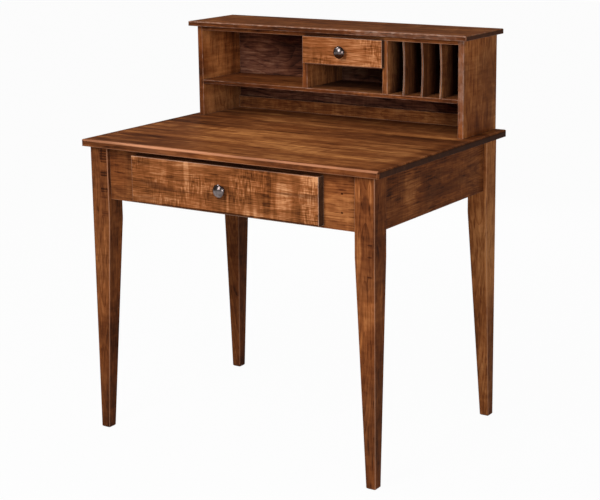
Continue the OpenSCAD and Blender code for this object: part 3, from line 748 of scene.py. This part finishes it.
@dataclass
class Knob:
    """A turned mushroom knob that stands for a CAD knob.

    Attributes:
        node: The CAD knob.
        body: The body that it rides on.
        rim_h, dome_h: The heights of the head's rim and of its dome.
        foot_r, foot_h: The foot's radius and height.
        neck_r, round_r: The radius of the narrowest place, and of the small rounded edges.
        flare, under: The shares of the head's radius where the neck ends and where the rim starts.
        lean, plump: How the neck's waist lies towards the foot, and how full it is.
        dome_share: How much of the dome's arc stands clear of the rim.
        steps: The facets of the full turn.
    """

    node: str
    body: str
    rim_h: float = 0.0015
    dome_h: float = 0.008
    foot_r: float = 0.009
    foot_h: float = 0.0025
    neck_r: float = 0.0064
    round_r: float = 0.0006
    flare: float = 0.72
    under: float = 0.8
    lean: float = 0.8
    plump: float = 0.9
    dome_share: float = 0.985
    steps: int = 72

    def profile(self, radius: float, length: float) -> list[tuple[float, float]]:
        """Draws half of the knob's section.

        Args:
            radius: The head's radius.
            length: The knob's length.

        Returns:
            Points from the middle of the foot to the middle of the dome.
        """
        rim_z = length - self.dome_h - self.rim_h
        throat = rim_z - self.foot_h
        r = self.round_r
        few, sides, many = 4, 14, 16
        points = [(0.0, 0.0), (self.foot_r - r, 0.0)]
        points += arc(self.foot_r - r, r, r, -90, 0, few)
        points += arc(self.foot_r - r, self.foot_h - r, r, 0, 90, few)
        for i in range(1, sides):
            t = i / sides
            waist = math.sin(math.pi * t ** self.lean) ** self.plump
            wide = self.foot_r - r + (radius * self.flare - self.foot_r) * t ** 4
            points.append((wide - (wide - self.neck_r) * waist, self.foot_h + throat * t))
        points.append((radius * self.under, rim_z))
        points += arc(radius - r, rim_z + r, r, -90, 0, few)
        points += arc(radius - r, rim_z + self.rim_h - r, r, 0, 55, few)
        dome_r = (radius ** 2 + self.dome_h ** 2) / (2 * self.dome_h)
        widest = math.degrees(math.asin((radius - r) / dome_r))
        points += arc(0.0, length - dome_r, dome_r, 90 - widest * self.dome_share, 90, many)
        points[-1] = (0.0, length)
        return points

    def build(self) -> None:
        """Turns the knob and sets it on its drawer front."""
        lo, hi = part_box(self.node)
        radius, length = (hi.x - lo.x) / 2, hi.y - lo.y
        bm = turned(self.profile(radius, length), self.steps)
        place = Matrix.Translation(((lo.x + hi.x) / 2, hi.y, (lo.z + hi.z) / 2))
        bmesh.ops.transform(bm, matrix=place @ TO_THE_FRONT, verts=bm.verts)
        finish_piece(bm, f"{self.node}_turned", self.body, PEWTER, replaces=self.node)


# A screw head's section from its recess outwards, in shares of its radius and of its height.
SCREW_HEAD = ((0.66, 0.0), (0.9, 0.22), (1.0, 0.55), (1.0, 0.96), (0.97, 1.0))


@dataclass
class Screws:
    """The screws of one CAD node, each with a cross recess in its head.

    Attributes:
        node: The CAD node with all the screws.
        body: The body that they ride on.
        points_up: Whether they stand on their heads. Otherwise their heads face the back.
        head_h: The head's height.
        recess_w, recess_d, recess_taper: The width of the recess, its depth, and how far it narrows.
        pitch: The distance from one ring of the thread to the next.
        root_share, tip_share: The shares of the shank's radius between the rings and where the tip starts.
        tip_room, tip_length: Where the thread and the shank end, in shank radii from the tip.
        steps: The facets of the full turn.
    """

    node: str
    body: str
    points_up: bool = False
    head_h: float = 0.0025
    recess_w: float = 0.0009
    recess_d: float = 0.0013
    recess_taper: float = 0.55
    pitch: float = 0.0012
    root_share: float = 0.78
    tip_share: float = 0.8
    tip_room: float = 2.4
    tip_length: float = 2.0
    steps: int = 24

    def places(self) -> list[tuple[Vector, Vector]]:
        """Finds the CAD screws, each as one island of the node's mesh.

        Returns:
            The lowest and highest corner of each.
        """
        bm = bmesh.new()
        bm.from_mesh(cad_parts[self.node].data)
        bmesh.ops.remove_doubles(bm, verts=bm.verts, dist=MERGE)
        left, found = set(bm.verts), []
        while left:
            island, ring = set(), {left.pop()}
            while ring:
                island |= ring
                ring = {v for inner in ring for edge in inner.link_edges for v in edge.verts} & left
                left -= ring
            cos = [v.co for v in island]
            found.append((Vector(map(min, zip(*cos))), Vector(map(max, zip(*cos)))))
        bm.free()
        return sorted(found, key=lambda corners: tuple(corners[0]))

    def one(self, head_r: float, length: float) -> BMesh:
        """Makes a screw with its head's face down on z = 0 and its tip up.

        Args:
            head_r: The head's radius.
            length: The whole length.

        Returns:
            The screw.
        """
        shank = head_r / 2
        profile = [(head_r * wide, self.head_h * high) for wide, high in SCREW_HEAD] + [(shank, self.head_h)]
        z = self.head_h + self.pitch
        while z < length - self.tip_room * shank:
            profile += [(shank, z), (shank * self.root_share, z + self.pitch / 2)]
            z += self.pitch
        profile += [(shank * self.tip_share, length - self.tip_length * shank), (0.0, length)]
        bm = turned(profile, self.steps)
        rim = [e for e in bm.edges if e.is_boundary]
        half = self.recess_w / 2
        faces = bmesh.ops.contextual_create(bm, geom=rim)["faces"]
        for axis in (Vector((1, 0, 0)), Vector((0, 1, 0))):
            for side in (half, -half):
                parts = set(faces) | {e for f in faces for e in f.edges} | {v for f in faces for v in f.verts}
                bmesh.ops.bisect_plane(bm, geom=list(parts), dist=FLAT, plane_co=axis * side, plane_no=axis)
                faces = [f for f in bm.faces if all(abs(v.co.z) < FLAT for v in f.verts)]
        middles = [(f, f.calc_center_median()) for f in faces]
        cross = [f for f, middle in middles if min(abs(middle.x), abs(middle.y)) < half + MERGE]
        inner = bmesh.ops.extrude_face_region(bm, geom=cross)["geom"]
        moved = [v for v in inner if isinstance(v, BMVert)]
        bmesh.ops.delete(bm, geom=cross, context="FACES")
        bmesh.ops.translate(bm, verts=moved, vec=(0, 0, self.recess_d))
        bmesh.ops.scale(bm, verts=moved, vec=(self.recess_taper, self.recess_taper, 1.0))
        return bm

    def build(self) -> None:
        """Makes every screw of the node, sets each in its hole and joins them in one piece."""
        joined = bmesh.new()
        for lo, hi in self.places():
            middle, size = (lo + hi) / 2, hi - lo
            if self.points_up:
                stand, length = Matrix.Translation((middle.x, middle.y, lo.z)), size.z
            else:
                stand, length = Matrix.Translation((middle.x, hi.y, middle.z)) @ TO_THE_FRONT, size.y
            # Any angle will do that differs from screw to screw.
            turn = Matrix.Rotation(middle.x * 17 + middle.y * 29, 4, "Z")
            bm = self.one(size.x / 2, length)
            bmesh.ops.transform(bm, matrix=stand @ turn, verts=bm.verts)
            part = bpy.data.meshes.new("screw_part")
            bm.to_mesh(part)
            bm.free()
            joined.from_mesh(part)
            bpy.data.meshes.remove(part)
        finish_piece(joined, f"{self.node}_turned", self.body, ZINC, replaces=self.node)


@dataclass
class PanelBrads:
    """The brads that hold the back panel to the hutch.

    Attributes:
        head_r, head_h: A head's radius and height.
        top_share: How wide the head's top is against its foot.
        sunk: How far the head reaches into the panel.
        spacing: The distance from brad to brad, before it is evened out.
        inset: The distance of the columns from the panel's sides.
        row_end, column_end: The distance of the first brad from the panel's edge.
    """

    head_r: float = 0.0022
    head_h: float = 0.0005
    top_share: float = 0.8
    sunk: float = 0.0003
    spacing: float = 0.075
    inset: float = 0.0045
    row_end: float = 0.03
    column_end: float = 0.02

    def evenly(self, first: float, last: float, end: float) -> list[float]:
        """Spaces brads evenly from one edge to another, with the outer ones at their distance from it."""
        count = round((last - first) / self.spacing)
        return [first + end + (last - first - 2 * end) / count * i for i in range(count + 1)]

    def spots(self) -> list[tuple[float, float]]:
        """Works out where the brads go.

        Returns:
            X and Z of each.
        """
        lo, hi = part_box("hutch_back_panel")
        sub_lo, sub_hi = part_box("hutch_subtop")
        shelf_lo, shelf_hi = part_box("hutch_shelf")
        rows = ((sub_lo.z + sub_hi.z) / 2, (shelf_lo.z + shelf_hi.z) / 2)
        columns = (lo.x + self.inset, hi.x - self.inset)
        across, down = self.evenly(lo.x, hi.x, self.row_end), self.evenly(lo.z, hi.z, self.column_end)
        return [(x, row) for row in rows for x in across] + [(column, z) for column in columns for z in down]

    def build(self) -> None:
        """Makes the brads' heads in one piece."""
        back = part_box("hutch_back_panel")[1].y
        joined = bmesh.new()
        for x, z in self.spots():
            verts = bmesh.ops.create_circle(joined, cap_ends=True, segments=12, radius=self.head_r)["verts"]
            faces = list({f for v in verts for f in v.link_faces})
            place = Matrix.Translation((x, back - self.sunk, z))
            bmesh.ops.transform(joined, matrix=place @ TO_THE_BACK, verts=verts)
            top = bmesh.ops.extrude_face_region(joined, geom=faces)["geom"]
            lifted = [v for v in top if isinstance(v, BMVert)]
            bmesh.ops.translate(joined, verts=lifted, vec=(0, self.head_h + self.sunk, 0))
            shrink = (self.top_share, 1.0, self.top_share)
            bmesh.ops.scale(joined, verts=lifted, vec=shrink, space=Matrix.Translation((-x, 0, -z)))
        finish_piece(joined, "back_panel_brads", DESK, ZINC)


# The top's dark flames, its lighter middle, its darker ends, and a rub with a painted highlight along the
# left of its front edge.
TOP_FIGURE_AND_HIGHLIGHT = (
    Mark(-0.245, -0.31, 0.075, 0.17, -0.18),
    Mark(0.02, -0.31, 0.26, 0.15, -0.09),
    Mark(-0.12, -0.12, 0.012, 0.1, -0.1),
    Mark(-0.06, 0.03, 0.2, 0.3, 0.02),
    Mark(-0.16, -0.1, 0.03, 0.09, -0.05, rungs=420.0),
    Mark(0.0, 0.45, 0.45, 0.06, -0.16),
    Mark(0.0, -0.44, 0.45, 0.03, -0.12),
    Mark(-0.22, 0.22, 0.08, 0.16, 0.05),
    # A rub with a painted highlight on the left of the front edge.
    Mark(-0.3055, -0.2, 0.006, 0.22, 0.08, rub_and_highlight=0.9),
)
# The legs' darker lower ends.
LOW = (Mark(0.0, 0.06, 3.0, 0.3, -0.09),)
# The rows of short dark flecks down the front left leg: height, half height and lift.
FLECKS = (
    (0.722, 0.018, -0.34), (0.677, 0.0075, -0.34), (0.635, 0.006, -0.3), (0.617, 0.005, -0.16),
    (0.574, 0.007, -0.14),
)
LADDER = tuple(Mark(-0.374, z, 0.0115, half, lift, rungs=900.0) for z, half, lift in FLECKS) + LOW
# The light and dark figure at the head of the front right leg.
KNOTTY = (
    *(Mark(0.402, z, 0.0075, 0.0022, -0.2) for z in (0.587, 0.559, 0.512)),
    Mark(0.392, 0.68, 0.012, 0.024, -0.18),
    Mark(0.403, 0.708, 0.006, 0.034, 0.26),
    Mark(0.37, 0.712, 0.008, 0.03, 0.14),
    Mark(0.374, 0.57, 0.007, 0.06, 0.13),
    *LOW,
)
# A light and a dark strip along the back right leg.
FAR_LEG = LOW + (Mark(0.418, 0.55, 0.01, 0.34, 0.22), Mark(0.364, 0.45, 0.01, 0.4, -0.12))
# The two pin knots of the front apron and its lighter right end.
PIN_KNOTS = (
    Mark(0.6966, 0.3232, 0.0026, 0.0034, -0.5),
    Mark(0.6518, 0.3229, 0.0026, 0.0034, -0.5),
    Mark(0.655, 0.335, 0.13, 0.085, 0.16),
)
# The dark curly patches of the right apron.
CURLY = (
    Mark(0.69, -0.2, 0.12, 0.07, -0.1),
    Mark(0.7, -0.185, 0.045, 0.045, -0.12, rungs=800.0),
    Mark(0.7, -0.06, 0.08, 0.05, -0.1),
)
# Painted shade on the back panel under the hutch top, behind the right of the left bay, and painted light on
# it behind the cubby.
PAINTED_BAY_LIGHT_AND_SHADE = (Mark(0.95, -0.14, 0.1, 0.13, -0.1), Mark(0.9, 0.05, 0.03, 0.13, 0.22))
# The light and dark patches of the desk drawer's front, and a painted shadow line along its lower edge.
DRAWER_FIGURE_AND_SHADOW_LINE = (
    Mark(0.685, 0.25, 0.1, 0.032, 0.17),
    Mark(0.68, 0.18, 0.09, 0.026, 0.16),
    Mark(0.7, 0.137, 0.06, 0.007, -0.17),
    Mark(0.685, 0.03, 0.1, 0.1, -0.08),
    Mark(0.7, -0.104, 0.07, 0.009, 0.2),
    Mark(0.7, -0.153, 0.06, 0.012, -0.1),
    Mark(0.718, -0.24, 0.03, 0.03, -0.14),
    # A painted shadow line along the front's lower edge.
    Mark(0.6195, 0.06, 0.0035, 0.4, -0.45),
)


@dataclass
class DeskFrame:
    """The top, the legs and the aprons, with what is fixed under the top."""

    joints: tuple[float, ...] = (-0.205, -0.096, 0.018, 0.121, 0.236)

    def build(self) -> None:
        """Dresses the boards and makes the button screws."""
        leg, deep = CALM_MAPLE, Cut.FLAT_DEEP
        top = {"seams": self.joints, "marks": TOP_FIGURE_AND_HIGHLIGHT}
        boards = (
            Board(("desk_top",), Cut.FLAT, TOP_MAPLE, 3, tone=0.02, curl=0.3, pith=0.05, **top),
            Board(("leg_front_left",), Cut.POST, leg, 11, tone=-0.06, curl=0.2, marks=LADDER),
            Board(("leg_front_right",), Cut.POST, leg, 12, tone=-0.07, curl=0.2, marks=KNOTTY),
            Board(("leg_back_left",), Cut.POST, leg, 13, tone=-0.04, curl=0.2),
            Board(("leg_back_right",), Cut.POST, leg, 14, tone=0.12, curl=0.25, marks=FAR_LEG),
            Board(("front_apron",), Cut.RAIL, leg, 21, tone=-0.11, curl=0.3, marks=PIN_KNOTS),
            Board(("side_apron_left",), Cut.SIDE_RAIL, leg, 22, curl=0.4),
            Board(("side_apron_right",), Cut.SIDE_RAIL, leg, 23, tone=-0.06, curl=0.45, marks=CURLY),
            Board(("back_apron",), Cut.RAIL, leg, 24, curl=0.4),
            Board(("drawer_runner_left", "drawer_runner_right"), deep, BARE_MAPLE, 31),
            Board(("drawer_kicker_left", "drawer_kicker_right"), deep, BARE_MAPLE, 32, tone=0.05),
            Board(("top_buttons",), deep, BARE_MAPLE, 33),
        )
        for board in boards:
            board.dress()
        Screws("button_screws", DESK, points_up=True).build()


@dataclass
class Hutch:
    """The hutch's boards, its letter dividers and its back."""

    joints: tuple[float, ...] = (0.232,)

    def build(self) -> None:
        """Dresses the boards and makes the back panel's brads."""
        wood, spotted, panel = RED_MAPLE, SPOTTED_MAPLE, PANEL_MAPLE
        # The hutch top's front edge and the right side's front edge get a rub with a painted highlight.
        top = {"seams": self.joints, "marks": (Mark(0.128, 0.25, 0.014, 0.16, rub_and_highlight=0.4),)}
        side_rub_and_highlight = (Mark(0.1467, 0.93, 0.008, 0.15, rub_and_highlight=0.45),)
        dividers = [
            Board((f"letter_divider_{i}",), Cut.PANEL, SLOT_MAPLE, 50 + i, tone=tone, curl=0.3)
            for i, tone in enumerate((0.02, 0.0, 0.02), start=1)
        ]
        boards = (
            Board(("hutch_top",), Cut.FLAT, spotted, 41, tone=-0.05, curl=0.3, **top),
            Board(("hutch_subtop",), Cut.FLAT, wood, 42, tone=0.08, curl=0.3),
            Board(("hutch_shelf",), Cut.FLAT, spotted, 43, tone=-0.03, curl=0.4),
            Board(("hutch_side_left",), Cut.PANEL, panel, 44, tone=0.07, curl=0.4),
            Board(("hutch_side_right",), Cut.PANEL, panel, 45, tone=0.16, curl=0.3, marks=side_rub_and_highlight),
            Board(("hutch_upright_left",), Cut.PANEL, spotted, 46, tone=0.12, curl=0.4),
            Board(("hutch_upright_right",), Cut.PANEL, spotted, 47, tone=0.20, curl=0.4),
            Board(("hutch_drawer_shelf",), Cut.FLAT, wood, 48, tone=0.02, curl=0.4),
            *dividers,
            Board(("hutch_back_panel",), Cut.RAIL, BACK_MAPLE, 54, pith=0.12, marks=PAINTED_BAY_LIGHT_AND_SHADE),
            Board(("hutch_back_rail",), Cut.RAIL, wood, 55, tone=0.10, curl=0.3),
            Board(("hutch_dowels",), Cut.POST, BARE_MAPLE, 56),
        )
        for board in boards:
            board.dress()
        PanelBrads().build()


@dataclass
class Drawer:
    """A dovetailed drawer with its applied front and its knob."""

    body: str
    seed: int
    curl: float
    tone: float
    marks: tuple[Mark, ...] = ()

    def build(self) -> None:
        """Dresses the boards, turns the knob and makes the screws."""
        b, s = self.body, self.seed
        front = {"tone": self.tone, "curl": self.curl, "marks": self.marks}
        boards = (
            Board((f"{b}_front",), Cut.RAIL, WARM_MAPLE, s, pith=0.05, **front),
            Board((f"{b}_box_front",), Cut.RAIL, BARE_MAPLE, s + 1),
            Board((f"{b}_back",), Cut.RAIL, BARE_MAPLE, s + 2),
            Board((f"{b}_side_left",), Cut.SIDE_RAIL, BARE_MAPLE, s + 3, tone=0.04),
            Board((f"{b}_side_right",), Cut.SIDE_RAIL, BARE_MAPLE, s + 4),
            Board((f"{b}_bottom",), Cut.FLAT, BARE_MAPLE, s + 5, tone=0.06, pith=0.3),
        )
        for board in boards:
            board.dress()
        Knob(f"{self.body}_knob", self.body).build()
        for screws in ("knob_screw", "front_screws"):
            Screws(f"{self.body}_{screws}", self.body).build()


@dataclass
class Softbox:
    """A square studio lamp that is aimed at the desk.

    Attributes:
        name: The lamp's name.
        azimuth, elevation: Its direction in degrees, from the front of the desk to its right, and up.
        distance, size: Its distance from the target, and its width and height.
        strength: How brightly it lights the target, whatever its distance.
        mirrored: Whether glossy faces show it.
        target: The point that it is aimed at.
    """

    name: str
    azimuth: float
    elevation: float
    distance: float
    size: tuple[float, float]
    strength: float
    mirrored: bool = True
    target: tuple[float, float, float] = (0.0, 0.0, 0.7)

    def build(self) -> None:
        """Hangs the lamp."""
        data = bpy.data.lights.new(self.name, "AREA")
        data.shape = "RECTANGLE"
        data.size, data.size_y = self.size
        a, e = math.radians(self.azimuth), math.radians(self.elevation)
        away = Vector((math.sin(a) * math.cos(e), -math.cos(a) * math.cos(e), math.sin(e)))
        data.energy = self.strength * self.distance ** 2 * math.pi ** 2
        lamp = bpy.data.objects.new(self.name, data)
        lamp.visible_glossy = self.mirrored
        lamp.location = Vector(self.target) + away * self.distance
        lamp.rotation_euler = away.to_track_quat("Z", "Y").to_euler()
        bpy.context.scene.collection.objects.link(lamp)


@dataclass
class Studio:
    """The floor, the white surround, the lamps and the camera.

    Attributes:
        camera_at: The camera's place.
        yaw, pitch, roll: Its direction in degrees.
        focal_px, centre_px, image: Its focal length, the point on its axis and the photograph's size,
            in the photograph's pixels.
        sensor, reach: The width of its sensor in millimetres, and how far it sees in metres.
        floor_half, floor_drop: Half the floor's width, and how far it lies under the feet.
        floor_glow: How much of what the camera sees of the floor is plain white.
        ambient, reflected: The surround's light on the desk, and what glossy faces show of it.
    """

    camera_at: tuple[float, float, float] = (2.15403, -3.23043, 1.43128)
    yaw: float = 33.0512
    pitch: float = -12.4373
    roll: float = -0.6805
    focal_px: float = 1558.0
    centre_px: tuple[float, float] = (311.34, 206.8)
    image: tuple[int, int] = (600, 500)
    sensor: float = 36.0
    reach: float = 60.0
    floor_half: float = 12.0
    floor_drop: float = 0.0005
    floor_glow: float = 0.97
    ambient: float = 0.10
    reflected: float = 0.14

    def camera(self) -> None:
        """Sets the camera where the photograph was taken."""
        yaw, pitch, roll = (math.radians(v) for v in (self.yaw, self.pitch, self.roll))
        forward = Vector((-math.sin(yaw) * math.cos(pitch), math.cos(yaw) * math.cos(pitch), math.sin(pitch)))
        level = Vector((math.cos(yaw), math.sin(yaw), 0.0))
        above = level.cross(forward)
        right = math.cos(roll) * level + math.sin(roll) * above
        up = -math.sin(roll) * level + math.cos(roll) * above
        data = bpy.data.cameras.new("photo_camera")
        data.sensor_width = self.sensor
        wide, tall = self.image
        data.lens = self.focal_px * self.sensor / wide
        data.shift_x = -(self.centre_px[0] - wide / 2) / wide
        data.shift_y = (self.centre_px[1] - tall / 2) / wide
        data.clip_end = self.reach
        camera = bpy.data.objects.new("photo_camera", data)
        turn = Matrix((right, up, -forward)).transposed().to_4x4()
        camera.matrix_world = Matrix.Translation(self.camera_at) @ turn
        bpy.context.scene.collection.objects.link(camera)
        bpy.context.scene.camera = camera

    def floor(self) -> None:
        """Lays a white floor that keeps the desk's soft shadow."""
        bm = bmesh.new()
        bmesh.ops.create_grid(bm, x_segments=2, y_segments=2, size=self.floor_half)
        bmesh.ops.translate(bm, verts=bm.verts, vec=(0, 0, -self.floor_drop))
        mesh = bpy.data.meshes.new("studio_floor")
        bm.to_mesh(mesh)
        bm.free()
        floor = bpy.data.objects.new("studio_floor", mesh)
        bpy.context.scene.collection.objects.link(floor)
        g = Graph(bpy.data.materials.new("floor_white"))
        ray = g.node("LightPath")
        seen = ray.out("Is Camera Ray") + ray.out("Is Glossy Ray") + ray.out("Is Transmission Ray")
        paper = g.node("BsdfDiffuse", {"Color": PAPER})
        glow = g.node("Emission", {"Color": WHITE})
        share = seen.maths("MINIMUM", 1.0) * self.floor_glow
        put_on(floor, g.close(g.node("MixShader", {0: share, 1: paper, 2: glow})))

    def surround(self) -> None:
        """Makes the white surround, and a plain level of light from it."""
        world = bpy.data.worlds.new("studio_white")
        bpy.context.scene.world = world
        g = Graph(world, "OutputWorld")
        ray = g.node("LightPath")
        dimmed = ray.out("Is Glossy Ray").maths("MULTIPLY_ADD", self.reflected - self.ambient, self.ambient)
        strength = dimmed.maths("MAXIMUM", ray.out("Is Camera Ray"))
        g.close(g.node("Background", {"Color": WHITE, "Strength": strength}))

    def lamps(self) -> None:
        """Hangs the softboxes."""
        Softbox("key_softbox", 0, 36, 2.6, (0.8, 1.6), 0.75).build()
        Softbox("side_softbox", 52, 9, 2.8, (0.9, 0.9), 0.36).build()
        Softbox("top_softbox", -70, 57, 2.4, (0.6, 0.6), 0.20).build()
        Softbox("back_softbox", 205, 6, 2.8, (0.9, 0.9), 0.30, mirrored=False).build()

    def build(self) -> None:
        """Sets up the whole studio."""
        bpy.context.scene.view_settings.view_transform = "Standard"
        self.camera()
        self.floor()
        self.surround()
        self.lamps()
        LOG.info("studio: camera %.0f mm lens", bpy.context.scene.camera.data.lens)


def main() -> None:
    """Builds the studio and then each sub-assembly in turn."""
    logging.basicConfig(level=logging.INFO, format="%(name)s: %(message)s")
    Studio().build()
    DeskFrame().build()
    Hutch().build()
    Drawer(DESK_DRAWER, 61, curl=1.0, tone=-0.05, marks=DRAWER_FIGURE_AND_SHADOW_LINE).build()
    Drawer(HUTCH_DRAWER, 71, curl=0.8, tone=0.05).build()


if __name__ == "__main__":
    main()
